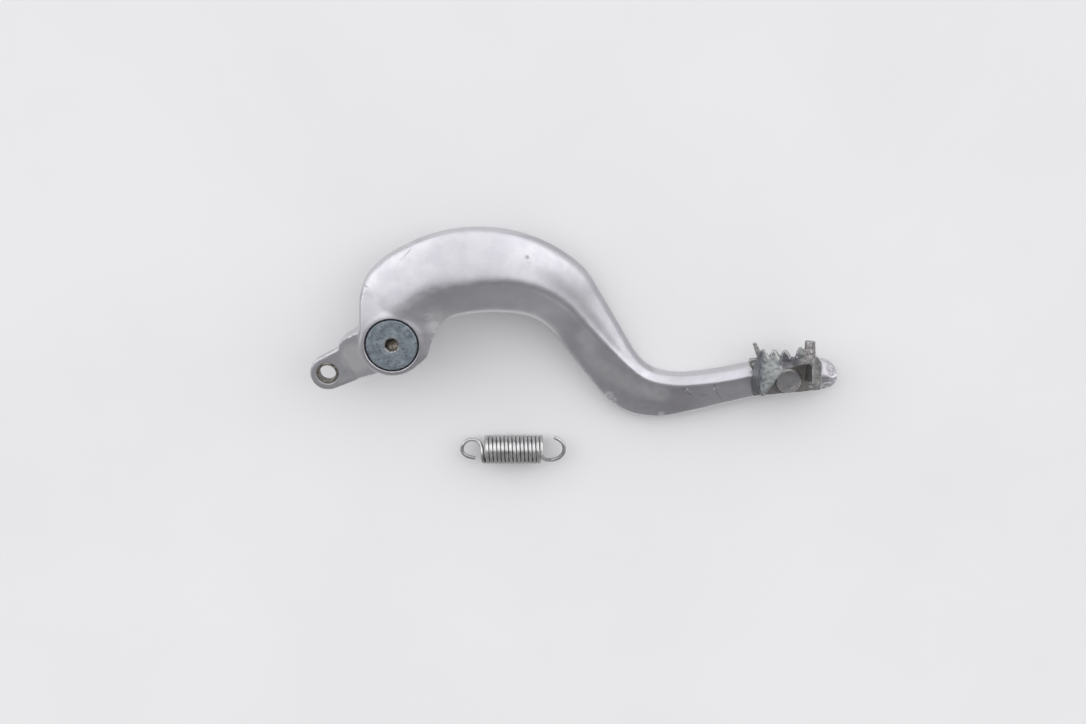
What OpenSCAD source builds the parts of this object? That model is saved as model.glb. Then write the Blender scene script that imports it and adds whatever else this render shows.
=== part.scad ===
// Rear brake pedal of an off-road motorcycle, with its pivot bolt and its loose return spring.
// Lies on its inner side. The origin is on the pivot axis, at the shoulder that meets the frame.
// +X runs forward to the toe step, +Y is up on the machine, +Z points away from the machine.

/* [Pivot] */
// Diameter of the journal that the pedal turns on
journal_d = 17; // [16:0.5:17.5]
// Length of the journal, from the frame face to the underside of the head
journal_len = 20; // [19.5:0.5:20.5]
// Diameter of the bolt head
head_d = 24.4; // [23.6:0.2:24.8]
// Height of the bolt head
head_h = 4; // [3.5:0.5:4.5]
// Nominal diameter of the thread
thread_d = 10; // [8:1:12]
// Length of the threaded end below the frame face
thread_len = 15; // [12:0.5:15]
// Hex key size of the socket in the head
socket_af = 6; // [5:1:8]
// Depth of the socket
socket_depth = 5.2; // [4.8:0.2:6]
// Outer diameter of the boss
boss_d = 31.6; // [31:0.2:33]

/* [Lug] */
// Distance from the pivot to the clevis pin hole
lug_reach = 36.9; // [36:0.1:38]
// Direction of the hole from the pivot, in degrees
lug_angle = 208; // [206:1:210]
// Diameter of the clevis pin hole
clevis_d = 8.1; // [6.1:0.5:8.6]
// Thickness of the lug
lug_t = 5.6; // [5:0.2:6.4]
// Radius of the lug's round end
lug_r = 8.4; // [8:0.1:9]

/* [Toe step] */
// Height of the step's wall, from its foot to the bottom of the tooth gaps
step_h = 18.6; // [17:0.2:20]
// Reach of the step, out from its base plate
step_reach = 22.6; // [21:0.2:24]
// Thickness of the step's wall
step_t = 2.6; // [2.2:0.1:3]
// Tilt of the step, outer end up, in degrees
step_tilt = 14; // [10:1:16]
// Diameter of the rivet head inside the step
rivet_head_d = 12.4; // [11:0.2:13]

/* [Return spring] */
// Wire diameter
wire_d = 1.86; // [1.6:0.02:1.88]
// Outer diameter of the coil
coil_d = 14.6; // [14:0.1:15]
// Number of turns
coil_turns = 14.75; // [12.75:1:14.75]
// Distance from turn to turn
coil_pitch = 1.97; // [1.96:0.01:2.1]

/* [Hidden] */
$fn = 64;

run_gap = 0.05;                      // radial clearance of a running fit
face_gap = 0.1;                      // clearance between faces that turn on each other
over = 1;                            // how far a cut runs past the face it opens
floor_z = -thread_len;
head_top = journal_len + head_h;

// Pivot stack, from the frame face outward
boss_z0 = 0.8;
boss_z1 = head_top + 0.2;
seal_r = 12.2;
seal_z1 = 4;
seat_r = 10;                         // bore that holds the two bushes
seat_z1 = journal_len - 1.1;
washer_t = 1;
head_pocket_gap = 0.85;              // room for the outer seal
head_pocket_r = head_d / 2 + head_pocket_gap;
head_edge = 0.4;
socket_turn = 12;                    // how far the hex is turned from a corner at +X
socket_lead = 0.65;                  // depth of the chamfer at the socket's mouth
seal_gap = 0.2;                      // between the inner seal and the bush behind it
press_gap = 0.02;                    // radial gap of a ring that is pressed into its seat
seal_press_gap = 0.05;               // the same for the soft inner seal
washer_r = 12.6;
inner_bush_z1 = 10.6;
outer_bush_z0 = 12;
boss_flare_h = 5;                    // the boss narrows over this much of its outer end
boss_rim = 0.5;
boss_chamfer = 0.8;

// Lug and web
lug_z0 = 7.4;
lug_z1 = lug_z0 + lug_t;
lug_x = lug_reach * cos(lug_angle);
lug_y = lug_reach * sin(lug_angle);
clevis_seat_r = 5.2;
web_z0 = 5;
web_z1 = 20;
web_slope = 21.8;                    // how steeply its top rises from the lug to the boss, in degrees
web_turn = 29.4;                     // direction in which it rises
web_edge = [[-26.6, -5.7], [-26.4, -2], [-23.6, 0.8], [-17, 5], [-10, 9],
    [0, 0], [-6, -16], [-18.5, -20.1]];
lug_edge = [[-36.6, -10], [-26, -4.4], [0, 0], [-6, -16], [-18, -20.6], [-29.8, -25.3]];

// Arm: one row per station, [outer x, outer y, inner x, inner y, middle z, half height, ridge,
// inner fill, outer fill], where ridge is how far the crest lies from the inner edge, as a part of
// the width, and fill is how far a shoulder is raised to the crest's height.
STATIONS = [
    [-15.6, -1, 8.8, -12.6, 15.2, 8.9, 0.5, 0.92, 0.5],
    [-15.7, 4, 16.2, -6.4, 15.2, 8.9, 0.5, 0.9, 0.5],
    [-15.8, 11, 18.2, -0.8, 15.2, 8.9, 0.5, 0.88, 0.48],
    [-15.4, 21, 20, 3.8, 15, 9.1, 0.48, 0.85, 0.4],
    [-13.6, 28, 21.6, 6.6, 14.8, 9.1, 0.46, 0.8, 0.25],
    [-10, 34, 23.4, 9, 14.6, 9.1, 0.43, 0.72, 0.1],
    [-3, 40.4, 25.8, 11, 14.6, 9, 0.41, 0.6, 0],
    [5, 45.2, 28.4, 12.2, 14.6, 9, 0.4, 0.44, 0],
    [15, 49.8, 32, 13, 14.8, 9, 0.4, 0.26, 0],
    [27, 53.2, 37, 13.4, 14.4, 9, 0.4, 0.12, 0],
    [41, 54.2, 45, 13.4, 13, 9, 0.42, 0, 0],
    [55.2, 52.6, 53, 12.8, 11.2, 9, 0.44, 0, 0],
    [68.8, 47.9, 62, 11, 8.2, 8.8, 0.45, 0, 0],
    [81, 40.6, 70, 6.6, 4, 8.6, 0.47, 0, 0],
    [92.2, 30.4, 78, -2, -0.8, 8.2, 0.5, 0, 0],
    [100, 17.4, 86, -13.6, -4.4, 7.6, 0.55, 0, 0],
    [109.4, 0.8, 94, -24.6, -7.2, 6.9, 0.64, 0, 0],
    [118, -14, 103.6, -36.4, -8.8, 6.2, 0.76, 0, 0],
    [126, -21.4, 115, -44.6, -9.4, 5.6, 0.8, 0, 0],
    [137.6, -24.2, 130, -46.8, -9.4, 5.6, 0.8, 0, 0],
    [148.6, -23.6, 146, -43.8, -9, 5.6, 0.76, 0, 0],
    [163, -21.2, 163, -39.4, -8.4, 5.6, 0.72, 0, 0],
    [176, -18.4, 179, -35.6, -7.6, 5.6, 0.7, 0, 0],
    [192, -17.2, 193, -34.2, -6.8, 5.4, 0.6, 0, 0],
    [207.6, -15.8, 207.6, -32.2, -6.4, 5, 0.5, 0, 0],
    [214.2, -17.8, 214.2, -30.4, -6.2, 4.4, 0.5, 0, 0],
    [217.6, -21.2, 217.6, -27, -6.2, 3, 0.5, 0, 0]
];
RINGS_BETWEEN = 3;

// Toe step
pad_z = -2.2;                        // flat on the arm that the base plate lies on
pad_x = [172.6, 209.3];
plate_t = 3;
plate_edge = [[175.6, -33], [209, -29.8], [209, -15.6], [206.4, -12.4], [205.4, -11.6], [203.8, -11.4],
    [203.2, -14], [177.4, -14], [173.2, -14], [173, -17.4], [175.2, -19.4]];
step_x = [175, 202.8];
step_foot_y = -31;
step_corner = 4.6;                   // radius of the wall's two bends
step_root = 8;                       // how far the wall runs on behind its foot line, to be cut off
wing_drop = 5.6;                     // how much lower the left wing is at its inner end
horn_h = 7.4;
horn_reach = 5.4;                    // how far out the leaning horn stands
tooth_pitch = 5.5;
// Middle x and height of each tooth
TEETH = [[177.7, 3.6], [182.9, 3.5], [188.2, 3.4], [195.3, 4.8]];
// Outlines in x and height: the web between the last tooth and the right wing, the arched opening
// over the rivet, and the leaning horn, which is measured from the wall's left face and its top
TOOTH_WEB = [[194.6, -0.1], [195.8, 4.2], [198.4, 3.2], [198.4, -0.1]];
ARCH = [[177.6, -1], [178.2, 1], [180.2, 3], [182, 5.6], [184.8, 9.6], [187.8, 12.4], [191.5, 13.7],
    [196.3, 15], [199.7, 15.1], [200.8, 14], [201, 6], [204, 6], [204, -1]];
HORN = [[1.1, -9], [4.2, -9], [4.9, -3], [4.2, 0], [1.5, 6.2], [-0.7, 6.2], [1.7, 0], [2.4, -3]];
// Notch in the top of the right wing, in reach and height above the wall
WING_NOTCH = [[5.8, 8], [7, 6.2], [8.6, 6.4], [9.8, 8.4]];
rivet_x = 192.6;
rivet_y = -24.6;
rivet_r = 4;
rivet_head_h = 2.4;
rivet_head_edge = 0.5;
rivet_tail_r = 5.8;
rivet_tail_h = 1.4;
rivet_tail_edge = 0.6;
tail_face_z = -12;
tail_pocket_gap = 0.6;

// Spring tab on the hidden inner side of the arm
tab_x = 24;
tab_y = 32;
tab_t = 4;
tab_r = 6;
tab_hole_r = 2.3;
tab_root = 18;                       // height of the tab above its hole, into the arm

// Return spring, lying on the floor beside the pedal
spring_x = 42.2;
spring_y = -64;
wire_r = wire_d / 2;
coil_r = coil_d / 2 - wire_r;
spring_z = floor_z + coil_d / 2;
coil_start = 180;                    // angle round the axis at which the coil starts
WIRE_SIDES = 8;
RINGS_PER_TURN = 20;
// Hook routes, from the end of the coil and relative to it, in x, y and z
PEDAL_HOOK = [[-0.1, -6.3, 0.5], [-0.4, -5.8, 2], [-0.8, -4, 3.2], [-1, -1, 3], [-1.5, 1.8, 1.6],
    [-3.2, 4.4, 0.5], [-6.2, 5.3, 0], [-9.2, 4.3, 0], [-11.2, 1.6, 0], [-11.2, -1.4, 0],
    [-9, -3.6, 0], [-5, -4.7, 0]];
FRAME_HOOK = [[0.02, -0.2, 6.37], [0.2, -1.1, 6.25], [0.6, -2.4, 5.7], [1.6, -3.9, 4.2], [3.2, -5, 2],
    [5.6, -5.5, 0.3], [8.4, -4.6, 0], [10.6, -2.2, 0], [11.2, 0.8, 0], [10, 3.8, 0], [6.4, 6.4, 0]];

// ---- Shared functions ----

// Point at t, from 0 to 1, on a smooth curve from b to c, with neighbours a and d
function smooth(a, b, c, d, t) =
    0.5 * (2 * b + (c - a) * t + (2 * a - 5 * b + 4 * c - d) * t * t + (3 * b - a - 3 * c + d) * t * t * t);

// A list of rows turned into a finer list along a smooth curve through them
function refine(rows, n) = [
    for (i = [0 : len(rows) - 2]) for (k = [0 : n - 1])
        smooth(rows[max(i - 1, 0)], rows[i], rows[i + 1], rows[min(i + 2, len(rows) - 1)], k / n),
    rows[len(rows) - 1]
];

function unit(v) = v / norm(v);

// Faces of a tube of closed rings, with m points in each ring
function tube_faces(rings, m) = concat(
    [[for (j = [m - 1 : -1 : 0]) j]],
    [for (i = [0 : rings - 2]) for (j = [0 : m - 1])
        [i * m + j, i * m + (j + 1) % m, (i + 1) * m + (j + 1) % m]],
    [for (i = [0 : rings - 2]) for (j = [0 : m - 1])
        [i * m + j, (i + 1) * m + (j + 1) % m, (i + 1) * m + j]],
    [[for (j = [0 : m - 1]) (rings - 1) * m + j]]
);

// Direction of a route at its point i
function heading(route, i) = unit(route[min(i + 1, len(route) - 1)] - route[max(i - 1, 0)]);

// ---- Arm ----

// Outline of the arm's section: u runs from the inner edge to the outer, v from bottom to top
function arm_section(crest) = [
    [0, -0.05], [0.012, 0.22], [0.05, 0.42], [crest * 0.45, 0.68], [crest * 0.8, 0.93], [crest, 1],
    [crest + 0.2 * (1 - crest), 0.93], [crest + 0.5 * (1 - crest), 0.66],
    [crest + 0.8 * (1 - crest), 0.34], [0.965, 0.08], [0.99, -0.16],
    [1, -0.42], [0.965, -0.8], [0.88, -1], [0.5, -1], [0.1, -1], [0.03, -0.8], [0, -0.4]
];

// Height of a point of the section once its shoulder is filled
function filled(p, crest, inner_fill, outer_fill) =
    let (fill = p[0] < crest ? inner_fill : outer_fill)
    p[1] > -0.2 ? p[1] + fill * (1 - p[1]) : p[1];

function arm_ring(s) = [
    for (p = arm_section(s[6])) [
        s[2] + (s[0] - s[2]) * p[0],
        s[3] + (s[1] - s[3]) * p[0],
        s[4] + s[5] * filled(p, s[6], s[7], s[8])
    ]
];

module arm_beam() {
    stations = refine(STATIONS, RINGS_BETWEEN);
    points = [for (s = stations) for (p = arm_ring(s)) p];
    polyhedron(points, tube_faces(len(stations), len(arm_section(0.5))), convexity = 8);
}

module boss() {
    rotate_extrude()
        polygon([[0, boss_z0], [boss_d / 2 - boss_chamfer, boss_z0], [boss_d / 2, boss_z0 + boss_chamfer],
            [boss_d / 2, boss_z1 - boss_flare_h], [boss_d / 2 - boss_rim, boss_z1 - 2 * boss_rim],
            [boss_d / 2 - 2 * boss_rim, boss_z1], [0, boss_z1]]);
}

module lug() {
    translate([lug_x, lug_y, lug_z0])
        cylinder(r = lug_r, h = lug_t);
    translate([0, 0, lug_z0])
        linear_extrude(lug_t)
            polygon(lug_edge);
    web();
}

// Thicker web between the lug and the boss
module web() {
    wide = 60;                       // larger than the web
    difference() {
        translate([0, 0, web_z0])
            linear_extrude(web_z1 - web_z0)
                polygon(web_edge);
        translate([web_edge[0][0], web_edge[0][1], lug_z1])
            rotate([0, -web_slope, web_turn])
                translate([-wide / 2, -wide / 2, 0])
                    cube(wide);
    }
}

module spring_tab() {
    tab_z = floor_z + tab_r;
    translate([tab_x - tab_t / 2, tab_y, tab_z])
        rotate([0, 90, 0])
            cylinder(r = tab_r, h = tab_t);
    translate([tab_x - tab_t / 2, tab_y - tab_r, tab_z])
        cube([tab_t, 2 * tab_r, tab_root]);
}

module pivot_bores() {
    translate([0, 0, boss_z0 - over])
        cylinder(r = seal_r, h = seal_z1 - boss_z0 + over);
    cylinder(r = seat_r, h = journal_len);
    translate([0, 0, seat_z1])
        cylinder(r = head_pocket_r, h = boss_z1 - seat_z1 + over);
}

// Flat for the toe step, with the rivet's hole and the pocket for its tail
module step_seat() {
    deep = 30;
    translate([pad_x[0], rivet_y - deep, pad_z])
        cube([pad_x[1] - pad_x[0], 2 * deep, deep]);
    translate([rivet_x, rivet_y, pad_z - deep])
        cylinder(r = rivet_r + run_gap, h = 2 * deep);
    translate([rivet_x, rivet_y, tail_face_z - deep])
        cylinder(r = rivet_tail_r + tail_pocket_gap, h = deep);
}

module pedal_arm() {
    color("#b9babf")
        difference() {
            union() {
                arm_beam();
                boss();
                lug();
                spring_tab();
            }
            pivot_bores();
            translate([lug_x, lug_y, lug_z0 - over])
                cylinder(r = clevis_seat_r, h = lug_t + 2 * over);
            translate([tab_x - tab_t, tab_y, floor_z + tab_r])
                rotate([0, 90, 0])
                    cylinder(r = tab_hole_r, h = 2 * tab_t);
            step_seat();
        }
}

// ---- Pivot ----

module ring(r_out, r_in, z0, z1) {
    translate([0, 0, z0])
        difference() {
            cylinder(r = r_out, h = z1 - z0);
            translate([0, 0, -over])
                cylinder(r = r_in, h = z1 - z0 + 2 * over);
        }
}

module pivot_bolt() {
    chamfer = 1;
    color("#8d98a4")
        difference() {
            rotate_extrude()
                polygon([[0, floor_z], [thread_d / 2 - chamfer, floor_z], [thread_d / 2, floor_z + chamfer],
                    [thread_d / 2, 0], [journal_d / 2, 0], [journal_d / 2, journal_len],
                    [head_d / 2, journal_len], [head_d / 2, head_top - head_edge],
                    [head_d / 2 - head_edge, head_top], [0, head_top]]);
            translate([0, 0, head_top - socket_depth])
                rotate([0, 0, socket_turn])
                    cylinder(d = socket_af / cos(30), h = socket_depth + over, $fn = 6);
            translate([0, 0, head_top - socket_lead])
                cylinder(r1 = socket_af / 2, r2 = socket_af / 2 + socket_lead + over, h = socket_lead + over);
        }
}

module thrust_washer() {
    color("#c0c2c4")
        ring(washer_r, journal_d / 2 + run_gap, seat_z1 + face_gap, seat_z1 + face_gap + washer_t);
}

module outer_dust_seal() {
    color("#17171a")
        ring(head_pocket_r - press_gap, head_d / 2 + run_gap, journal_len + 2 * seal_gap, boss_z1 - seal_gap);
}

module inner_dust_seal() {
    color("#17171a")
        ring(seal_r - seal_press_gap, journal_d / 2 + run_gap, seal_gap, seal_z1 - seal_gap);
}

module bush(z0, z1) {
    color("#a8834a")
        ring(seat_r - press_gap, journal_d / 2 + run_gap, z0, z1);
}

module inner_bush() {
    bush(seal_z1, inner_bush_z1);
}

module outer_bush() {
    bush(outer_bush_z0, seat_z1);
}

module clevis_bush() {
    color("#6d6257")
        translate([lug_x, lug_y, 0])
            ring(clevis_seat_r - press_gap, clevis_d / 2, lug_z0, lug_z1);
}

// ---- Toe step ----

// One tooth, standing on the x axis
module tooth(x, height) {
    translate([x, 0])
        polygon([
            [-tooth_pitch / 2, -0.1],
            [-tooth_pitch * 0.24, height * 0.8],
            [-tooth_pitch * 0.1, height],
            [tooth_pitch * 0.12, height],
            [tooth_pitch / 2, -0.1]
        ]);
}

// Plan of the wall, a band round three sides that opens toward the arm
module step_plan() {
    difference() {
        step_block(step_x[0], step_x[1], step_reach, step_corner);
        step_block(step_x[0] + step_t, step_x[1] - step_t, step_reach - step_t, step_corner - step_t);
    }
}

// Block from x0 to x1 and out to reach, with its two outer corners rounded
module step_block(x0, x1, reach, corner) {
    translate([x0 + corner, -step_root])
        square([x1 - x0 - 2 * corner, reach + step_root]);
    translate([x0, -step_root])
        square([x1 - x0, reach + step_root - corner]);
    for (x = [x0 + corner, x1 - corner])
        translate([x, reach - corner])
            circle(r = corner);
}

// Front view of the wall, from its foot to the tips of the teeth and the top of the right wing
module step_front() {
    difference() {
        union() {
            translate([step_x[0], 0])
                square([step_x[1] - step_x[0], step_h]);
            translate([0, step_h]) {
                for (t = TEETH)
                    tooth(t[0], t[1]);
                polygon(TOOTH_WEB);
            }
            translate([step_x[1] - step_corner, step_h - over])
                square([step_corner, horn_h + over]);
        }
        polygon(ARCH);
    }
}

// Outline of what is cut from the top of the left wing, in reach and height
module left_wing_cut() {
    bend = step_reach - step_corner;
    tall = 20;
    polygon([[-step_root - over, step_h - wing_drop], [0, step_h - wing_drop],
        [bend / 2, step_h - wing_drop / 2], [bend, step_h], [bend, step_h + tall],
        [-step_root - over, step_h + tall]]);
}

// An outline in reach and height, extruded from x0 to x1
module across(x0, x1) {
    translate([x1, 0, 0])
        rotate([0, -90, 0])
            linear_extrude(x1 - x0)
                children();
}

// Upright wall of the step, where its foot line is the x axis: reach runs along z, height along y
module step_wall() {
    long = 60;
    difference() {
        intersection() {
            translate([0, long - step_root, 0])
                rotate([90, 0, 0])
                    linear_extrude(long)
                        step_plan();
            translate([0, 0, -long / 2])
                linear_extrude(long)
                    step_front();
        }
        across(step_x[0] - over, step_x[0] + step_corner)
            left_wing_cut();
        across(step_x[1] - step_corner - over, step_x[1] + over)
            translate([0, step_h])
                polygon(WING_NOTCH);
    }
    translate([step_x[0], step_h, -step_root])
        linear_extrude(step_root + horn_reach)
            polygon(HORN);
}

module toe_step() {
    room = 50;                       // larger than the step, above the arm's flat
    color("#8b8f8c")
        difference() {
            union() {
                translate([0, 0, pad_z])
                    linear_extrude(plate_t)
                        polygon(plate_edge);
                intersection() {
                    translate([0, step_foot_y, pad_z + plate_t])
                        rotate([-step_tilt, 0, 0])
                            step_wall();
                    translate([pad_x[0], step_foot_y - room, pad_z])
                        cube([room, 2 * room, room]);
                }
            }
            translate([rivet_x, rivet_y, pad_z - over])
                cylinder(r = rivet_r + run_gap, h = plate_t + 2 * over);
        }
}

module step_rivet() {
    head_z = pad_z + plate_t;
    head_r = rivet_head_d / 2;
    tail_z = tail_face_z - rivet_tail_h;
    color("#85868a")
        translate([rivet_x, rivet_y, 0])
            rotate_extrude()
                polygon([[0, tail_z], [rivet_tail_r - rivet_tail_edge, tail_z],
                    [rivet_tail_r, tail_z + rivet_tail_edge], [rivet_tail_r, tail_face_z],
                    [rivet_r, tail_face_z], [rivet_r, head_z], [head_r, head_z],
                    [head_r, head_z + rivet_head_h - rivet_head_edge],
                    [head_r - rivet_head_edge, head_z + rivet_head_h], [0, head_z + rivet_head_h]]);
}

// ---- Return spring ----

// Ring of the wire round point p, where the wire heads along d
function wire_ring(p, d) =
    let (side = unit(cross(d, abs(d[2]) < 0.9 ? [0, 0, 1] : [1, 0, 0])), up = cross(side, d))
    [for (k = [0 : WIRE_SIDES - 1])
        p + wire_r * (cos(360 * k / WIRE_SIDES) * side + sin(360 * k / WIRE_SIDES) * up)];

// Ring of the coil's wire at angle a round the axis: it stays square to the axis
function coil_ring(a) =
    let (turn = coil_start + a, out = [0, cos(turn), sin(turn)])
    [for (k = [0 : WIRE_SIDES - 1])
        [coil_pitch * a / 360, 0, 0] + out * (coil_r + wire_r * cos(360 * k / WIRE_SIDES))
            + [wire_r * sin(360 * k / WIRE_SIDES), 0, 0]];

module wire(route) {
    rings = refine(route, 3);
    points = [for (i = [0 : len(rings) - 1]) for (p = wire_ring(rings[i], heading(rings, i))) p];
    polyhedron(points, tube_faces(len(rings), WIRE_SIDES), convexity = 8);
}

module spring_coil() {
    steps = coil_turns * RINGS_PER_TURN;
    points = [for (i = [0 : steps]) for (p = coil_ring(i * 360 / RINGS_PER_TURN)) p];
    color("#83857f")
        translate([spring_x, spring_y, spring_z])
            polyhedron(points, tube_faces(steps + 1, WIRE_SIDES), convexity = 20);
}

module spring_frame_hook() {
    color("#83857f")
        translate([spring_x + coil_pitch * coil_turns, spring_y, spring_z])
            wire(FRAME_HOOK);
}

module spring_pedal_hook() {
    color("#83857f")
        translate([spring_x, spring_y, spring_z])
            wire(PEDAL_HOOK);
}

pedal_arm();
pivot_bolt();
thrust_washer();
outer_dust_seal();
inner_dust_seal();
outer_bush();
inner_bush();
clevis_bush();
toe_step();
step_rivet();
spring_coil();
spring_frame_hook();
spring_pedal_hook();
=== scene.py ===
"""Looks of a rear brake pedal with its pivot bolt and loose return spring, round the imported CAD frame.

Lengths are millimetres in the row frame until a mesh is made, and MM turns them into metres there.
+X runs to the toe step, +Y is up on the machine and +Z runs along the pivot, to the bolt head.
"""
import math

import bmesh
import bpy
import numpy as np
from mathutils import Matrix, Vector


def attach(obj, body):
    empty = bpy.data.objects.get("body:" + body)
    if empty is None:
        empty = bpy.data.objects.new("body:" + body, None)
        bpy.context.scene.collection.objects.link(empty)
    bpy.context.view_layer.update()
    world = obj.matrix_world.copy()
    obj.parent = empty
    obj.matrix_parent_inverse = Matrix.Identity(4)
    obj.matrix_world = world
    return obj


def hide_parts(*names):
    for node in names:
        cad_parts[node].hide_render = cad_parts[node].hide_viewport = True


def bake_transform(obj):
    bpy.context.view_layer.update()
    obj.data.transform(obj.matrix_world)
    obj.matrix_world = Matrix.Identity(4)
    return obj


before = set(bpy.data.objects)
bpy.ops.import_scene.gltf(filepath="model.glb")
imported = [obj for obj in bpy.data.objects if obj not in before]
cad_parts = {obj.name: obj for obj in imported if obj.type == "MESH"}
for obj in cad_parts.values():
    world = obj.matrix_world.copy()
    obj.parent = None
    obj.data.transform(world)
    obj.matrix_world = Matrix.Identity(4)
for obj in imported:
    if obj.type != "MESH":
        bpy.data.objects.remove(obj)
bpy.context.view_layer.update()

MM = 0.001
SCENE = bpy.context.scene

# ---- Driving dimensions, the same as the CAD part's ----

FLOOR_Z = -15.0
HEAD_TOP = 24.0
BOSS_R, BOSS_Z0, BOSS_Z1 = 15.8, 0.8, 24.2
HEAD_R, HEAD_Z0 = 12.2, 20.0
POCKET_R, POCKET_Z = 13.05, 21.9
JOURNAL_R, BOLT_R, CORE_R = 8.5, 5.0, 4.1
SOCKET_ACROSS, SOCKET_DEPTH, SOCKET_TURN, SOCKET_LEAD = 6.0, 5.2, 12, 0.65
THREAD_PITCH, THREAD_DEPTH = 1.25, 0.75
BUSH_R, INNER_SEAL_R, CLEVIS_R = 10.0, 12.2, 5.2
LUG, LUG_R, LUG_Z0, LUG_Z1 = (-32.58, -17.32), 8.4, 7.4, 13.0
PAD_Z, PAD_X0, PAD_X1 = -2.2, 172.6, 209.3
RIVET, RIVET_R, RIVET_HEAD_R, RIVET_TAIL_R = (192.6, -24.6), 4.0, 6.2, 5.8
TAIL_Z, TAIL_POCKET_R, TAIL_POCKET_Z = -12.0, 6.4, -15.0
PIN_GAP = 0.05
TAB_X, TAB_Y, TAB_R, TAB_T, TAB_HOLE_R = 24.0, 32.0, 6.0, 4.0, 2.3

# Arm stations: outer x, y, inner x, y, middle z, half height, ridge place from the inner edge,
# how crisp the ridge is, and how full the inner and the outer shoulder are
STATIONS = [
    (-15.6, -1, 8.8, -12.6, 15.2, 9, 0.5, 0, 0.92, 0.5),
    (-15.7, 4, 16.2, -6.4, 15.2, 9, 0.5, 0, 0.9, 0.5),
    (-15.8, 11, 18.2, -0.8, 15.2, 9, 0.5, 0, 0.88, 0.48),
    (-15.4, 21, 20, 3.8, 15, 9.1, 0.48, 0, 0.85, 0.4),
    (-13.6, 28, 21.6, 6.6, 14.8, 9.1, 0.46, 0, 0.8, 0.25),
    (-10, 34, 23.4, 9, 14.6, 9.1, 0.43, 0, 0.72, 0.1),
    (-3, 40.4, 25.8, 11, 14.6, 9, 0.41, 0, 0.6, 0),
    (5, 45.2, 28.4, 12.2, 14.6, 9, 0.4, 0, 0.44, 0),
    (15, 49.8, 32, 13, 14.8, 9, 0.4, 0.1, 0.26, 0),
    (27, 53.2, 37, 13.4, 14.4, 9, 0.4, 0.2, 0.12, 0),
    (41, 54.2, 45, 13.4, 13, 9, 0.42, 0.3, 0, 0),
    (55.2, 52.6, 53, 12.8, 11.2, 9, 0.44, 0.4, 0, 0),
    (68.8, 47.9, 62, 11, 8.2, 8.8, 0.45, 0.5, 0, 0),
    (81, 40.6, 70, 6.6, 4, 8.6, 0.47, 0.7, 0, 0),
    (92.2, 30.4, 78, -2, -0.8, 8.2, 0.5, 0.9, 0, 0),
    (100, 17.4, 86, -13.6, -4.4, 7.6, 0.55, 1, 0, 0),
    (109.4, 0.8, 94, -24.6, -7.2, 6.9, 0.64, 1, 0, 0),
    (118, -14, 103.6, -36.4, -8.8, 6.2, 0.76, 0.8, 0, 0),
    (126, -21.4, 115, -44.6, -9.4, 5.6, 0.8, 0.5, 0, 0),
    (137.6, -24.2, 130, -46.8, -9.4, 5.6, 0.8, 0.3, 0, 0),
    (148.6, -23.6, 146, -43.8, -9, 5.6, 0.76, 0.2, 0, 0),
    (163, -21.2, 163, -39.4, -8.4, 5.6, 0.72, 0.3, 0, 0),
    (176, -18.4, 179, -35.6, -7.6, 5.6, 0.7, 0.3, 0, 0),
    (192, -17.2, 193, -34.2, -6.8, 5.4, 0.6, 0, 0, 0),
    (207.6, -15.8, 207.6, -32.2, -6.4, 5, 0.5, 0, 0, 0),
    (214.1, -17.8, 214.1, -30.4, -6.2, 4.4, 0.5, 0, 0, 0),
    (217.3, -21.2, 217.3, -27, -6.2, 3, 0.5, 0, 0, 0),
]
STATION_STEPS, SECTION_STEPS = 10, 5

LUG_EDGE = [(-36.6, -10), (-26, -4.4), (0, 0), (-6, -16), (-18, -20.6), (-29.8, -25.3)]
WEB_EDGE = [(-26.6, -5.7), (-26.4, -2), (-23.6, 0.8), (-17, 5), (-10, 9), (0, 0), (-6, -16), (-18.5, -20.1)]
WEB_SLOPE = 0.4

# Toe step
STEP_X0, STEP_X1, STEP_FOOT_Y, STEP_H, STEP_REACH, STEP_T = 175.0, 202.8, -31.0, 18.6, 22.6, 2.6
STEP_CORNER = 4.6
STEP_TILT = math.radians(14)
PLATE_TOP = PAD_Z + 3.0
PLATE_EDGE = [(175.6, -33), (209, -29.8), (209, -15.6), (206.4, -12.4), (205.4, -11.6), (203.8, -11.4),
              (203.2, -14), (177.4, -14), (173.2, -14), (173, -17.4), (175.2, -19.4)]
FRONT_TEETH = [(177.7, 3.6), (182.9, 3.5), (188.2, 3.4), (195.3, 4.8)]
TOOTH_WEB = [(194.6, 0), (195.8, 4.2), (198.4, 3.2), (199, 0)]
# The leaning horn: height above the wall, left side and right side, from the wall's left face
HORN_SIDES = [(-9, 1.1, 4.2), (-6, 1.8, 4.7), (-3, 2.4, 4.9), (0, 1.7, 4.2), (3, 0.6, 2.9), (6.2, -0.7, 1.5)]
TOOTH_PITCH, HORN_H, HORN_REACH = 5.5, 7.4, 5.4
ARCH = [(177.6, -1), (178.2, 1), (180.2, 3), (182, 5.6), (184.8, 9.6), (187.8, 12.4), (191.5, 13.7),
        (196.3, 15), (199.7, 15.1), (200.8, 14), (201, 6), (204, 6), (204, -1)]

# Return spring
WIRE_R, COIL_R, COIL_TURNS, COIL_PITCH = 0.93, 6.37, 14.75, 1.97
SPRING = np.array([42.2, -64.0, -7.7])
PEDAL_HOOK = [(-.1, -6.3, .5), (-.4, -5.8, 2), (-.8, -4, 3.2), (-1, -1, 3), (-1.5, 1.8, 1.6), (-3.2, 4.4, .5),
              (-6.2, 5.3, 0), (-9.2, 4.3, 0), (-11.2, 1.6, 0), (-11.2, -1.4, 0), (-9, -3.6, 0), (-5, -4.7, 0)]
FRAME_HOOK = [(.2, -1.1, 6.25), (.6, -2.4, 5.7), (1.6, -3.9, 4.2), (3.2, -5, 2), (5.6, -5.5, .3),
              (8.4, -4.6, 0), (10.6, -2.2, 0), (11.2, .8, 0), (10, 3.8, 0), (6.4, 6.4, 0)]
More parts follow.
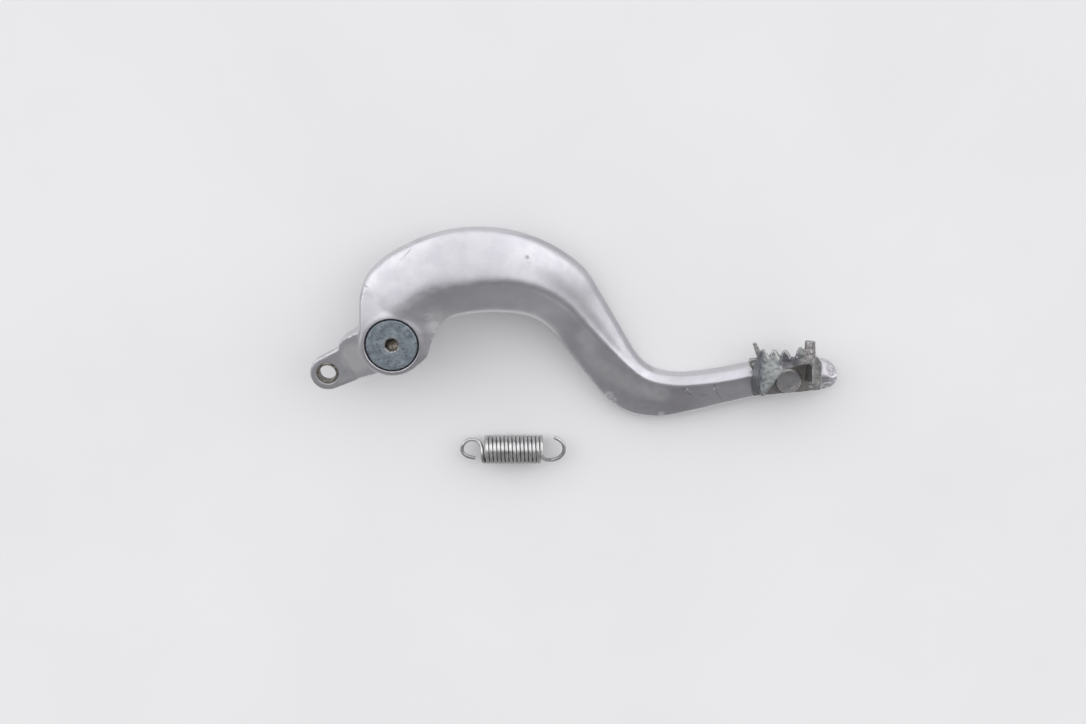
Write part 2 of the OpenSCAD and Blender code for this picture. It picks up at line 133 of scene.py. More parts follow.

# ---- Wear, and painted shade and highlight ----

# Painted shade on the step's wall, under its third tooth: place, radius, fade
STEP_PAINTED_SHADE = [
    ((188.4, -6, 18.6), 1.6, 3.2),
    ((191.4, -8.4, 18.2), 1.8, 3.4),
    ((187, -10.4, 18.6), 1, 3),
]
# Cuts in the arm's coat: start, end, width
ARM_SCRATCHES = [
    ((9.7, 45, 16.4), (2.6, 36.7, 18), 0.35),
    ((8.4, 44.6, 16.8), (4.6, 40.4, 17.6), 0.5),
    ((-13.9, 15.1, 15.5), (-5.7, 18.5, 20), 0.3),
    ((-13.6, 17.4, 15.6), (-8.6, 19.6, 18.6), 0.22),
    ((59, 41, 15), (66, 40, 13.6), 0.25),
    ((141.6, -30.4, -3.6), (145.2, -33.8, -4.4), 0.55),
    ((142.4, -33.4, -4.4), (144.6, -31, -3.8), 0.45),
    ((156.8, -28.2, -3), (158.9, -33.4, -4), 0.6),
    ((157.2, -31.4, -3.6), (160.6, -36.4, -5), 0.65),
    ((149.6, -33.6, -4.4), (153.6, -34, -4.4), 0.4),
    ((150.4, -35, -4.8), (152.4, -34.6, -4.6), 0.4),
]
# Rubs in the arm's coat: place, radius, fade
ARM_SCUFFS = [
    ((17, 13.3, 21.5), 0.5, 0.9),
    ((8.4, 46.6, 13.6), 1.6, 1.4),
    ((64.2, 40.2, 14.2), 0.5, 0.9),
    ((104.7, -34.6, -7.2), 1.6, 2),
    ((107.2, -36.8, -7.6), 1.2, 1.6),
    ((157.6, -30.6, -3.6), 0.4, 1.6),
    ((143.6, -31.6, -4), 0.3, 1.6),
    ((131, -44.6, -8), 1.2, 1.6),
    ((214.6, -19.6, -3.5), 1.6, 2.6),
]
# Route along the lower bend of a painted highlight streak
HIGHLIGHT_STREAK_ROUTE = [(92, -2, 2.5), (97, -16, 0.5), (108, -25, -1.5), (118, -30.5, -3), (131, -34, -4)]
# Dents in the arm: place, radius, depth
ARM_DENTS = [
    ((17, 13.3, 21.5), 1, 0.35),
    ((64.2, 40.2, 14.2), 0.9, 0.22),
    ((104.7, -34.6, -7), 1.5, 0.3),
    ((107.4, -37, -7.4), 1.1, 0.3),
    ((212.6, -19.4, -2.8), 1.4, 0.3),
    ((215.4, -23.6, -3.6), 1.3, 0.3),
]

# ---- Mesh helpers ----


def make(name, points, faces, cut_caps=False):
    """A new object from points in millimetres, with wide caps cut into triangles if asked."""
    mesh = bpy.data.meshes.new(name)
    mesh.from_pydata((np.asarray(points, float) * MM).tolist(), [], faces)
    piece = bpy.data.objects.new(name, mesh)
    SCENE.collection.objects.link(piece)
    bm = bmesh.new()
    bm.from_mesh(mesh)
    bmesh.ops.recalc_face_normals(bm, faces=bm.faces)
    if cut_caps:
        bmesh.ops.triangulate(bm, faces=[f for f in bm.faces if len(f.verts) > 4])
        bmesh.ops.recalc_face_normals(bm, faces=bm.faces)
    bm.to_mesh(mesh)
    bm.free()
    return piece


def apply(piece, kind, **settings):
    """Adds one modifier to the piece and makes its result the piece's mesh."""
    modifier = piece.modifiers.new(kind, kind)
    for key, value in settings.items():
        setattr(modifier, key, value)
    bpy.context.view_layer.update()
    shown = piece.evaluated_get(bpy.context.evaluated_depsgraph_get())
    mesh = bpy.data.meshes.new_from_object(shown)
    piece.modifiers.clear()
    before = piece.data
    piece.data = mesh
    bpy.data.meshes.remove(before)


def boolean(piece, tool, operation="DIFFERENCE"):
    """Cuts the tool from the piece, joins it on or keeps what they share, and drops the tool."""
    apply(piece, "BOOLEAN", object=tool, operation=operation, solver="EXACT")
    bpy.data.objects.remove(tool)


def merge(name, parts):
    """One object that holds the meshes of all the parts, still overlapping."""
    bm = bmesh.new()
    for part in parts:
        bm.from_mesh(part.data)
        bpy.data.objects.remove(part)
    mesh = bpy.data.meshes.new(name)
    bm.to_mesh(mesh)
    bm.free()
    piece = bpy.data.objects.new(name, mesh)
    SCENE.collection.objects.link(piece)
    return piece


def points_of(piece):
    """The mesh's points as an array in millimetres."""
    flat = np.empty(len(piece.data.vertices) * 3)
    piece.data.vertices.foreach_get("co", flat)
    return flat.reshape(-1, 3) / MM


def set_points(piece, points):
    piece.data.vertices.foreach_set("co", (points * MM).ravel())
    piece.data.update()


def normals_of(piece):
    flat = np.empty(len(piece.data.vertices) * 3, np.float32)
    piece.data.vertices.foreach_get("normal", flat)
    return flat.reshape(-1, 3).astype(float)


def soften(piece, rounds, weights=None):
    """Smooths the mesh for some rounds, as much at each point as its weight says."""
    settings = dict(factor=0.5, iterations=rounds)
    if weights is not None:
        group = piece.vertex_groups.new(name="soften")
        for level in range(1, 11):
            chosen = np.nonzero(np.round(weights * 10) == level)[0]
            if len(chosen):
                group.add(chosen.tolist(), level / 10, "REPLACE")
        settings["vertex_group"] = "soften"
    apply(piece, "SMOOTH", **settings)
    piece.vertex_groups.clear()


def shade(piece, sharp_degrees):
    piece.data.shade_smooth()
    piece.data.set_sharp_from_angle(angle=math.radians(sharp_degrees))


def tube_faces(rings, sides, close=False):
    """Quads between rings of the same number of points, with a cap on each end of an open tube."""
    spans = rings if close else rings - 1
    faces = [(i * sides + j, i * sides + (j + 1) % sides,
              (i + 1) % rings * sides + (j + 1) % sides, (i + 1) % rings * sides + j)
             for i in range(spans) for j in range(sides)]
    if not close:
        faces.append(tuple(range(sides))[::-1])
        faces.append(tuple((rings - 1) * sides + j for j in range(sides)))
    return faces


def smooth_curve(points, steps, closed=False):
    """A finer list of points on the smooth curve through the given ones."""
    points = np.asarray(points, float)
    count, fine = len(points), []
    for i in range(count if closed else count - 1):
        at = [(i + k) % count if closed else min(max(i + k, 0), count - 1) for k in (-1, 0, 1, 2)]
        a, b, c, d = points[at]
        for t in np.arange(steps) / steps:
            square = 2 * a - 5 * b + 4 * c - d
            cube = 3 * b - a - 3 * c + d
            fine.append(0.5 * (2 * b + (c - a) * t + square * t**2 + cube * t**3))
    if not closed:
        fine.append(points[-1])
    return np.array(fine)


def rounded(outline, radius, steps=4):
    """A closed outline with each corner turned into a small curve of about that radius."""
    outline = np.asarray(outline, float)
    count, fine = len(outline), []
    for i in range(count):
        corner = outline[i]
        back, on = outline[i - 1] - corner, outline[(i + 1) % count] - corner
        reach = min(radius, np.linalg.norm(back) / 2.2, np.linalg.norm(on) / 2.2)
        start = corner + back / np.linalg.norm(back) * reach
        end = corner + on / np.linalg.norm(on) * reach
        for t in np.linspace(0, 1, steps + 1):
            fine.append((1 - t) ** 2 * start + 2 * t * (1 - t) * corner + t**2 * end)
    return np.array(fine)


def arc(x, y, radius, start, end, steps):
    """Points round a centre, from one angle to another in degrees."""
    angles = np.radians(np.linspace(start, end, steps + 1))
    return [(x + radius * math.cos(a), y + radius * math.sin(a)) for a in angles]


def prism(name, outline, low, high, axes="xyz"):
    """An outline drawn on the first two axes named and extruded along the third."""
    columns = ["xyz".index(a) for a in axes]
    count = len(outline)
    points = np.zeros((2 * count, 3))
    for ring, depth in enumerate((low, high)):
        rows = slice(ring * count, (ring + 1) * count)
        points[rows, columns[0]] = [p[0] for p in outline]
        points[rows, columns[1]] = [p[1] for p in outline]
        points[rows, columns[2]] = depth
    return make(name, points, tube_faces(2, count), cut_caps=True)


def revolve(name, profile, steps=128, centre=(0, 0), closed=False):
    """A profile of (radius, z) turned round a line along Z. An open profile starts and ends on that line."""
    profile = np.asarray(profile, float)
    turn = np.radians(np.arange(steps) * 360 / steps)
    rings = profile if closed else profile[1:-1]
    points = [(centre[0] + r * math.cos(a), centre[1] + r * math.sin(a), z) for a in turn for r, z in rings]
    sides = len(rings)
    if closed:
        return make(name, points, tube_faces(steps, sides, close=True))
    faces = [(i * sides + j, i * sides + j + 1, (i + 1) % steps * sides + j + 1, (i + 1) % steps * sides + j)
             for i in range(steps) for j in range(sides - 1)]
    first, last = len(points), len(points) + 1
    points += [(centre[0], centre[1], profile[0][1]), (centre[0], centre[1], profile[-1][1])]
    for i in range(steps):
        faces.append((first, i * sides, (i + 1) % steps * sides))
        faces.append((last, (i + 1) % steps * sides + sides - 1, i * sides + sides - 1))
    return make(name, points, faces)


def ring_piece(name, r_out, r_in, z0, z1, edge, centre=(0, 0), steps=128):
    """A plain ring with rounded edges."""
    profile = rounded([(r_in, z0), (r_out, z0), (r_out, z1), (r_in, z1)], edge)
    return revolve(name, profile, steps, centre, closed=True)


def bore(name, radius, z0, z1, centre=(0, 0), chamfer_top=0.0, chamfer_bottom=0.0):
    """A cutter for a round hole along Z, wider by a chamfer where it leaves the part at z0 or z1."""
    over = 3.0
    bottom, top = [(radius, z0 - over)], [(radius, z1 + over)]
    if chamfer_bottom:
        bottom = [(radius + chamfer_bottom + over, z0 - over), (radius, z0 + chamfer_bottom)]
    if chamfer_top:
        top = [(radius, z1 - chamfer_top), (radius + chamfer_top + over, z1 + over)]
    return revolve(name, [(0, z0 - over), *bottom, *top, (0, z1 + over)], centre=centre)


def hills(points, size, seed):
    """Smooth noise from -1 to 1 at each point, with bumps of about that size in millimetres."""
    rng = np.random.default_rng(seed)
    total = np.zeros(len(points))
    waves = 14
    for _ in range(waves):
        direction = rng.normal(size=3)
        direction *= 2 * math.pi / (size * rng.uniform(0.7, 1.8)) / np.linalg.norm(direction)
        total += np.sin(points @ direction + rng.uniform(0, 2 * math.pi))
    return total / math.sqrt(waves)


# ---- Node helpers ----


class Finish:
    """One procedural material. Lengths given to its methods are millimetres in the row frame."""

    def __init__(self, name, **sockets):
        self.material = bpy.data.materials.new(name)
        self.material.use_nodes = True
        self.tree = self.material.node_tree
        self.shader = self.tree.nodes["Principled BSDF"]
        self.place = self.tree.nodes.new("ShaderNodeTexCoord").outputs["Object"]
        for socket, value in sockets.items():
            self.shader.inputs[socket.replace("_", " ")].default_value = value

    def node(self, kind, inputs=(), **settings):
        made = self.tree.nodes.new(kind)
        for key, value in settings.items():
            setattr(made, key, value)
        for key, value in dict(inputs).items():
            self.feed(made.inputs[key], value)
        return made

    def feed(self, socket, value):
        """Links an output to the socket, or sets its value."""
        if isinstance(value, bpy.types.NodeSocket):
            self.tree.links.new(value, socket)
        else:
            socket.default_value = value

    def math(self, operation, a, b=0.0, clamp=False):
        return self.node("ShaderNodeMath", {0: a, 1: b}, operation=operation, use_clamp=clamp).outputs[0]

    def times(self, a, b):
        return self.math("MULTIPLY", a, b)

    def larger(self, values):
        total = values[0]
        for value in values[1:]:
            total = self.math("MAXIMUM", total, value)
        return total

    def vector(self, operation, a, b):
        """Vector maths. The result is a number for a dot product or a distance, and else a vector."""
        made = self.node("ShaderNodeVectorMath", {0: a, 1: b}, operation=operation)
        return made.outputs["Value" if operation in ("DOT_PRODUCT", "DISTANCE") else "Vector"]

    def noise(self, size, detail=3.0, rough=0.55, stretch=(1, 1, 1), warp=0.0):
        """Noise from 0 to 1 with features of about that size, stretched by the given amounts."""
        scaled = self.vector("MULTIPLY", self.place, tuple(1 / s for s in stretch))
        inputs = {"Vector": scaled, "Scale": 1 / (size * MM), "Detail": detail, "Roughness": rough,
                  "Distortion": warp}
        return self.node("ShaderNodeTexNoise", inputs).outputs["Fac"]

    def cells(self, size):
        """Distance to the nearest of many scattered points, in units of their spacing."""
        made = self.node("ShaderNodeTexVoronoi", {"Vector": self.place, "Scale": 1 / (size * MM)})
        return made.outputs["Distance"]

    def span(self, value, low, high, at_low=0.0, at_high=1.0):
        """Value turned from the range low..high to at_low..at_high, and held at the ends."""
        made = self.node("ShaderNodeMapRange", {
            "Value": value, "From Min": low, "From Max": high, "To Min": at_low, "To Max": at_high},
            interpolation_type="SMOOTHSTEP")
        return made.outputs["Result"]

    def mix(self, share, a, b):
        made = self.node("ShaderNodeMix", data_type="RGBA")
        for key, value in ((0, share), (6, a), (7, b)):
            self.feed(made.inputs[key], (*value, 1) if isinstance(value, tuple) else value)
        return made.outputs[2]

    def spot(self, centre, radius, fade):
        """1 within radius of a point and 0 beyond radius + fade."""
        away = self.vector("DISTANCE", self.place, tuple(c * MM for c in centre))
        return self.span(away, radius * MM, (radius + fade) * MM, 1.0, 0.0)

    def line(self, start, end, width):
        """1 on the straight line between two points, and 0 beyond its width."""
        a, b = Vector(start) * MM, Vector(end) * MM
        along = b - a
        offset = self.vector("SUBTRACT", self.place, tuple(a))
        dot = self.vector("DOT_PRODUCT", offset, tuple(along / along.length_squared))
        part = self.math("ADD", dot, 0.0, clamp=True)
        foot = self.node("ShaderNodeVectorMath", {0: tuple(along)}, operation="SCALE")
        self.feed(foot.inputs["Scale"], part)
        away = self.vector("DISTANCE", offset, foot.outputs[0])
        return self.span(away, width * 0.25 * MM, width * MM, 1.0, 0.0)

    def axis_distance(self, centre):
        """Distance in metres from a line along Z."""
        flat = self.vector("MULTIPLY", self.place, (1.0, 1.0, 0.0))
        return self.vector("DISTANCE", flat, (centre[0] * MM, centre[1] * MM, 0.0))

    def along(self, axis, low, high, *ends):
        """A span along one axis, from low to high in millimetres."""
        value = self.node("ShaderNodeSeparateXYZ", {0: self.place}).outputs[axis]
        return self.span(value, low * MM, high * MM, *ends)

    def facing(self, way):
        """How squarely the surface faces a direction of the row frame, up to 1."""
        return self.vector("DOT_PRODUCT", self.node("ShaderNodeTexCoord").outputs["Normal"], way)

    def edges(self, low, high, *ends):
        """1 on convex edges and 0 elsewhere, or with ends of 1 and 0 the same for hollows."""
        return self.span(self.node("ShaderNodeNewGeometry").outputs["Pointiness"], low, high, *ends)

    def coat(self, tone, share, amount, colour):
        """The tone with a colour laid over it, by the amount where share is 1."""
        return self.mix(self.times(share, amount), tone, colour)

    def bumps(self, layers):
        """Layers of (height, depth in millimetres), from the first, the broadest."""
        normal = None
        for value, depth in layers:
            made = self.node("ShaderNodeBump", {"Height": value, "Distance": depth * MM, "Strength": 1.0})
            if normal is not None:
                self.feed(made.inputs["Normal"], normal)
            normal = made.outputs[0]
        self.feed(self.shader.inputs["Normal"], normal)

    def paint(self, colour, roughness):
        self.feed(self.shader.inputs["Base Color"], colour)
        self.feed(self.shader.inputs["Roughness"], roughness)
        return self.material


# ---- Materials ----


def coated_aluminium():
    """Silver coat on a blasted forging: satin, a little violet, with scratches and a few bare scuffs, and
    painted light: a highlight on rims that face down, a streak along the lower bend, a lighter outer side and
    lighter patches by the boss.
    """
    f = Finish("coated_aluminium", Metallic=1.0)
    grain = f.noise(0.28, 2.0)
    cloud = f.noise(9.0, 4.0)
    streak = f.noise(1.2, 3.0, stretch=(3.0, 1.0, 1.0))
    # Painted highlight: rims that face down and towards -Y get a light colour, standing in for the light line
    # along the lower edge.
    painted_rim_highlight = f.span(f.facing((0.0, -0.8, 0.6)), 0.82, 0.95)
    # Painted light: faces turned towards +Y, the side the light comes from, are made lighter.
    painted_light_outer_side = f.larger([f.facing((0.0, 0.98, 0.2)), f.facing((-0.7, 0.68, 0.2))])
    painted_light_outer_side = f.span(painted_light_outer_side, 0.86, 0.96)
    # Painted highlight: a soft light streak along the lower bend, standing in for a reflection.
    painted_streak_highlight = f.larger([f.line(*ends, 6.5) for ends in zip(HIGHLIGHT_STREAK_ROUTE, HIGHLIGHT_STREAK_ROUTE[1:])])
    painted_streak_highlight = f.times(painted_streak_highlight, f.span(f.noise(4.0, 4.0), 0.3, 0.7, 0.6, 1.0))
    # Painted light: lighter patches on the web fillet by the lug and on the inner shoulder between boss and
    # arch.
    web = f.larger([f.spot((-19.0, -9.0, 15.5), 5.5, 3.5), f.spot((24.0, 11.0, 21.0), 3.0, 8.0)])
    worn = f.larger([f.spot((138, -38, -5), 5, 12), f.spot((209.5, -22.0, -3.5), 4, 4)])
    scratch = f.larger([f.line(*ends) for ends in ARM_SCRATCHES])
    rub = f.larger([f.spot(*place) for place in ARM_SCUFFS])
    torn = f.span(f.noise(0.9, 5.0, 0.7), 0.45, 0.56)
    scuff = f.times(rub, torn)
    rims = f.edges(0.53, 0.60)
    tone = f.mix(f.span(cloud, 0.3, 0.7), (0.455, 0.45, 0.48), (0.50, 0.495, 0.515))
    tone = f.coat(tone, f.span(streak, 0.56, 0.72), 0.3, (0.40, 0.39, 0.43))
    tone = f.coat(tone, worn, 0.45, (0.34, 0.32, 0.34))
    tone = f.coat(tone, painted_streak_highlight, 0.4, (0.78, 0.77, 0.79))
    tone = f.coat(tone, web, 0.45, (0.74, 0.735, 0.74))
    tone = f.coat(tone, painted_rim_highlight, 0.75, (0.8, 0.795, 0.8))
    tone = f.coat(tone, painted_light_outer_side, 0.35, (0.86, 0.855, 0.86))
    tone = f.coat(tone, rims, 0.55, (0.68, 0.67, 0.68))
    tone = f.coat(tone, scuff, 0.5, (0.66, 0.65, 0.66))
    tone = f.coat(tone, scratch, 0.8, (0.24, 0.23, 0.26))
    rough = f.span(f.noise(3.0, 4.0), 0.3, 0.7, 0.36, 0.44)
    rough = f.math("ADD", rough, f.times(scuff, 0.12))
    f.bumps([(f.times(scuff, f.noise(0.5, 4.0)), 0.25), (scratch, -0.06), (grain, 0.035)])
    return f.paint(tone, rough)


def zinc_steel():
    """Dull blue zinc plate, mottled and speckled, with brown dirt in and round the hex socket, dark brown in
    the socket and a painted light on one wall of it.
    """
    f = Finish("zinc_steel", Metallic=0.85)
    blotch = f.noise(2.6, 5.0, 0.6)
    speckle = f.times(f.span(f.noise(0.55, 4.0, 0.7), 0.52, 0.6), f.span(f.noise(4.0, 3.0), 0.42, 0.58))
    swirl = f.span(f.noise(1.6, 5.0, 0.7, warp=1.5), 0.55, 0.66)
    away = f.axis_distance((0, 0))
    patch = f.times(f.noise(1.1, 4.0), 3.4 * MM)
    dirt = f.span(f.math("ADD", away, patch), 4.0 * MM, 6.4 * MM, 1.0, 0.0)
    deep = f.along("Z", HEAD_TOP - 1.4, HEAD_TOP - 0.1, 1.0, 0.0)
    inside = f.times(deep, f.span(away, 3.8 * MM, 4.2 * MM, 1.0, 0.0))
    tone = f.mix(f.span(blotch, 0.32, 0.68), (0.215, 0.25, 0.285), (0.33, 0.375, 0.41))
    tone = f.coat(tone, swirl, 0.35, (0.36, 0.40, 0.43))
    tone = f.coat(tone, speckle, 0.85, (0.085, 0.085, 0.12))
    tone = f.coat(tone, dirt, 0.7, (0.16, 0.13, 0.1))
    # Painted light: one wall of the socket, towards +X and -Y, is made light. The rest of the socket is dark
    # brown.
    slant = f.vector("DOT_PRODUCT", f.place, (0.6, -0.8, 0.0))
    glint = f.times(f.span(slant, -1.2 * MM, 2.4 * MM), f.span(f.noise(0.9, 4.0), 0.36, 0.56))
    socket_dark_with_painted_light = f.mix(glint, (0.075, 0.063, 0.045), (0.62, 0.57, 0.5))
    tone = f.coat(tone, inside, 0.9, socket_dark_with_painted_light)
    tone = f.coat(tone, f.edges(0.54, 0.6), 0.3, (0.5, 0.52, 0.54))
    rough = f.span(blotch, 0.3, 0.7, 0.42, 0.55)
    rough = f.math("ADD", rough, f.times(dirt, 0.15))
    f.bumps([(blotch, 0.05), (f.noise(0.3, 3.0), 0.025)])
    return f.paint(tone, rough)


def plain_steel():
    """Ground steel of the shim, with fine rings from turning."""
    f = Finish("plain_steel", Metallic=1.0)
    away = f.axis_distance((0, 0))
    lines = f.math("SINE", f.times(away, 2 * math.pi / (0.12 * MM)))
    tone = f.mix(f.span(f.noise(2.0), 0.3, 0.7), (0.5, 0.5, 0.5), (0.62, 0.62, 0.61))
    f.bumps([(lines, 0.004), (f.noise(0.4), 0.01)])
    return f.paint(tone, f.span(f.noise(1.0), 0.3, 0.7, 0.25, 0.36))


def seal_rubber():
    """Matt black rubber with grey dust in its pores."""
    f = Finish("seal_rubber", Metallic=0.0)
    dust = f.span(f.noise(1.5, 4.0), 0.52, 0.75)
    tone = f.mix(f.times(dust, 0.3), (0.008, 0.008, 0.011), (0.05, 0.05, 0.055))
    f.bumps([(f.noise(0.6, 3.0), 0.03), (f.noise(0.15, 2.0), 0.01)])
    return f.paint(tone, f.span(dust, 0.0, 1.0, 0.5, 0.72))


def bronze():
    """Sintered bronze, with dark pores and a film of grease."""
    f = Finish("bronze", Metallic=1.0)
    pores = f.span(f.cells(0.5), 0.1, 0.3, 1.0, 0.0)
    tone = f.mix(f.span(f.noise(2.5, 4.0), 0.3, 0.7), (0.46, 0.3, 0.13), (0.6, 0.42, 0.2))
    tone = f.coat(tone, pores, 0.5, (0.16, 0.1, 0.05))
    f.bumps([(pores, -0.02), (f.noise(0.3), 0.01)])
    return f.paint(tone, f.span(f.noise(3.0), 0.3, 0.7, 0.24, 0.4))


def bush_steel():
    """Dark greasy steel bush of the clevis pin, rubbed bright in places."""
    f = Finish("bush_steel", Metallic=0.9)
    grime = f.noise(1.4, 5.0, 0.65)
    tone = f.mix(f.span(grime, 0.35, 0.65), (0.10, 0.088, 0.078), (0.34, 0.315, 0.285))
    tone = f.coat(tone, f.edges(0.53, 0.6), 0.6, (0.6, 0.58, 0.55))
    f.bumps([(grime, 0.04), (f.noise(0.3), 0.02)])
    return f.paint(tone, f.span(grime, 0.3, 0.7, 0.5, 0.32))


def step_steel():
    """Worn plated steel of the toe step: greenish grey, with painted shade in violet bands at the left bend,
    under the third tooth and in the hollows, a painted highlight on the front wall, bright edges that are
    partly worn and partly painted highlight, and brown dirt.
    """
    f = Finish("step_steel", Metallic=0.9)
    blotch = f.noise(3.2, 5.0, 0.6)
    low = f.along("Z", PLATE_TOP, PLATE_TOP + 2.0, 1.0, 0.0)
    inner = f.times(f.along("X", STEP_X1 - 1.6, STEP_X1, 1.0, 0.0), f.along("X", STEP_X0 + 1.5, STEP_X0 + 3))
    mud = f.times(f.times(low, inner), f.span(f.noise(2.2, 4.0, 0.6), 0.25, 0.5))
    tone = f.mix(f.span(blotch, 0.3, 0.7), (0.192, 0.202, 0.204), (0.228, 0.24, 0.238))
    # Painted highlight: a light patch on the front wall near the second tooth.
    tone = f.coat(tone, f.spot((181.7, -12.5, 19.0), 1.8, 4.5), 0.6, (0.32, 0.335, 0.33))
    # Painted shade: dark violet bands across the left bend, standing in for the shading of the rounded
    # corner.
    streak = f.noise(0.9, 4.0, 0.6, stretch=(1.0, 7.0, 7.0))
    bend = f.along("X", STEP_X0 + 1.4, STEP_X0 + 3.8, 1.0, 0.0)
    bend_shade_tone = f.mix(f.span(streak, 0.42, 0.62), (0.085, 0.088, 0.105), (0.2, 0.214, 0.222))
    tone = f.coat(tone, bend, 0.8, bend_shade_tone)
    bare = f.along("X", STEP_X1 - 8.5, STEP_X1 - 5.5)
    bare_tone = f.mix(f.span(f.noise(0.8, 5.0, 0.7), 0.38, 0.6), (0.135, 0.13, 0.127), (0.29, 0.28, 0.272))
    tone = f.coat(tone, f.larger([bare, f.spot((175.6, -8, 1), 5, 3)]), 0.85, bare_tone)
    tone = f.coat(tone, f.spot((174.2, -15.6, 0.8), 1.8, 1.2), 0.8, (0.33, 0.35, 0.325))
    # Painted shade: dark patches on the wall under the third tooth.
    for place in STEP_PAINTED_SHADE:
        tone = f.coat(tone, f.spot(*place), 0.8, (0.07, 0.066, 0.08))
    tone = f.coat(tone, mud, 0.8, (0.26, 0.235, 0.23))
    # Painted shade: hollows are darkened.
    tone = f.coat(tone, f.edges(0.42, 0.485, 1.0, 0.0), 0.5, (0.1, 0.095, 0.09))
    end = f.along("X", STEP_X1 + 0.1, STEP_X1 + 0.5)
    end_tone = f.mix(f.span(f.noise(1.1, 5.0, 0.7), 0.4, 0.62), (0.28, 0.28, 0.275), (0.52, 0.51, 0.5))
    tone = f.coat(tone, end, 0.9, end_tone)
    high = f.times(f.along("X", STEP_X1 - 10, STEP_X1 - 9, 1.0, 0.0), f.along("Z", 5, 8))
    rubbed = f.times(f.times(f.span(f.facing((0.72, 0.45, 0.53)), 0.72, 0.9), high), 0.45)
    # Bright edges, partly edge wear and partly a painted highlight along edges such as the arch's.
    worn = f.times(f.edges(0.515, 0.57), f.span(f.noise(1.0, 4.0), 0.3, 0.5))
    tone = f.coat(tone, f.larger([rubbed, worn]), 0.85, (0.6, 0.59, 0.575))
    rough = f.span(blotch, 0.3, 0.7, 0.38, 0.5)
    rough = f.math("ADD", rough, f.times(mud, 0.25))
    f.bumps([(blotch, 0.035), (f.noise(0.7, 4.0), 0.018), (f.noise(0.25), 0.015)])
    return f.paint(tone, rough)


def rivet_steel():
    """Dull plated rivet head, a little brown round its rim."""
    f = Finish("rivet_steel", Metallic=0.9)
    blotch = f.noise(2.4, 5.0, 0.6)
    away = f.axis_distance(RIVET)
    rim = f.span(away, (RIVET_HEAD_R - 1.2) * MM, (RIVET_HEAD_R - 0.3) * MM)
    tone = f.mix(f.span(blotch, 0.3, 0.7), (0.285, 0.283, 0.292), (0.36, 0.358, 0.365))
    tone = f.coat(tone, rim, 0.45, (0.56, 0.53, 0.49))
    chip = f.spot((RIVET[0] + 2.2, RIVET[1] - 3.2, 3.2), 0.4, 1.4)
    chips = f.times(chip, f.span(f.noise(0.6, 5.0), 0.48, 0.58))
    tone = f.coat(tone, chips, 0.8, (0.75, 0.75, 0.74))
    f.bumps([(blotch, 0.06), (f.noise(0.4, 4.0), 0.025)])
    return f.paint(tone, f.span(blotch, 0.3, 0.7, 0.45, 0.58))


def spring_steel():
    """Plated spring wire, half gloss, with drawn lines and dull dark patches, and painted shade on its -Y
    half and between the turns.
    """
    f = Finish("spring_steel", Metallic=1.0)
    patch = f.noise(2.2, 4.0, 0.6)
    drawn = f.noise(0.25, 2.0, stretch=(1.0, 4.0, 4.0))
    tone = f.mix(f.span(patch, 0.35, 0.65), (0.41, 0.41, 0.41), (0.57, 0.57, 0.56))
    # Painted shade: the wire is darker on its -Y half, away from the light.
    under = f.along("Y", SPRING[1] - 4.5, SPRING[1], 1.0, 0.0)
    tone = f.coat(tone, under, 0.6, (0.19, 0.19, 0.19))
    # Painted shade: hollows between the turns are darkened.
    tone = f.coat(tone, f.edges(0.38, 0.48, 1.0, 0.0), 0.75, (0.08, 0.08, 0.075))
    f.bumps([(patch, 0.03), (drawn, 0.012)])
    return f.paint(tone, f.span(patch, 0.3, 0.7, 0.28, 0.4))


FINISHES = {
    made.__name__: made()
    for made in (coated_aluminium, zinc_steel, plain_steel, seal_rubber, bronze,
                 bush_steel, step_steel, rivet_steel, spring_steel)
}


def finish_piece(piece, body, node, slot, sharp=35):
    """Shades the piece, gives it its material and ties it to the frame."""
    shade(piece, sharp)
    piece.data.materials.clear()
    piece.data.materials.append(FINISHES[slot])
    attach(piece, body)
    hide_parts(node)


# ---- Arm ----


def arm_section(crest, crisp, full_in, full_out):
    """Section of the arm: u from the inner edge to the outer, v from the bottom to the crest."""
    rest = 1 - crest
    shoulder = 0.93 - 0.07 * crisp
    section = np.array([
        (0, -0.05), (0.012, 0.22), (0.05, 0.42), (crest * 0.45, 0.68 - 0.03 * crisp),
        (crest * 0.8, shoulder), (crest, 1), (crest + 0.2 * rest, shoulder), (crest + 0.5 * rest, 0.66),
        (crest + 0.8 * rest, 0.34), (0.965, 0.08), (0.99, -0.16), (1, -0.42), (0.965, -0.8), (0.88, -1),
        (0.5, -1), (0.1, -1), (0.03, -0.8), (0, -0.4)])
    raised = section[:, 1] > -0.2
    share = np.where(section[:, 0] < crest, full_in, full_out) * raised
    section[:, 1] += share * (1 - section[:, 1])
    return section


def arm_beam():
    """The arm's bar, swept through its stations."""
    rings = []
    for x0, y0, x1, y1, middle, half, *shape in smooth_curve(STATIONS, STATION_STEPS):
        u, v = smooth_curve(arm_section(*shape), SECTION_STEPS, closed=True).T
        rings.append(np.stack([x1 + (x0 - x1) * u, y1 + (y0 - y1) * u, middle + half * v], axis=1))
    return make("beam", np.concatenate(rings), tube_faces(len(rings), len(rings[0])))


def boss():
    """Boss of the pivot, with its inner edge bevelled and its outer edge rounded."""
    rim = 1.0
    r, z0, z1 = BOSS_R, BOSS_Z0, BOSS_Z1
    return revolve("boss", [
        (0, z0), (r - rim, z0), (r, z0 + rim), (r, z1 - 1.4), (r - 0.4, z1 - 0.6), (r - rim, z1 - 0.35),
        (r - 2.6, z1), (0, z1)])


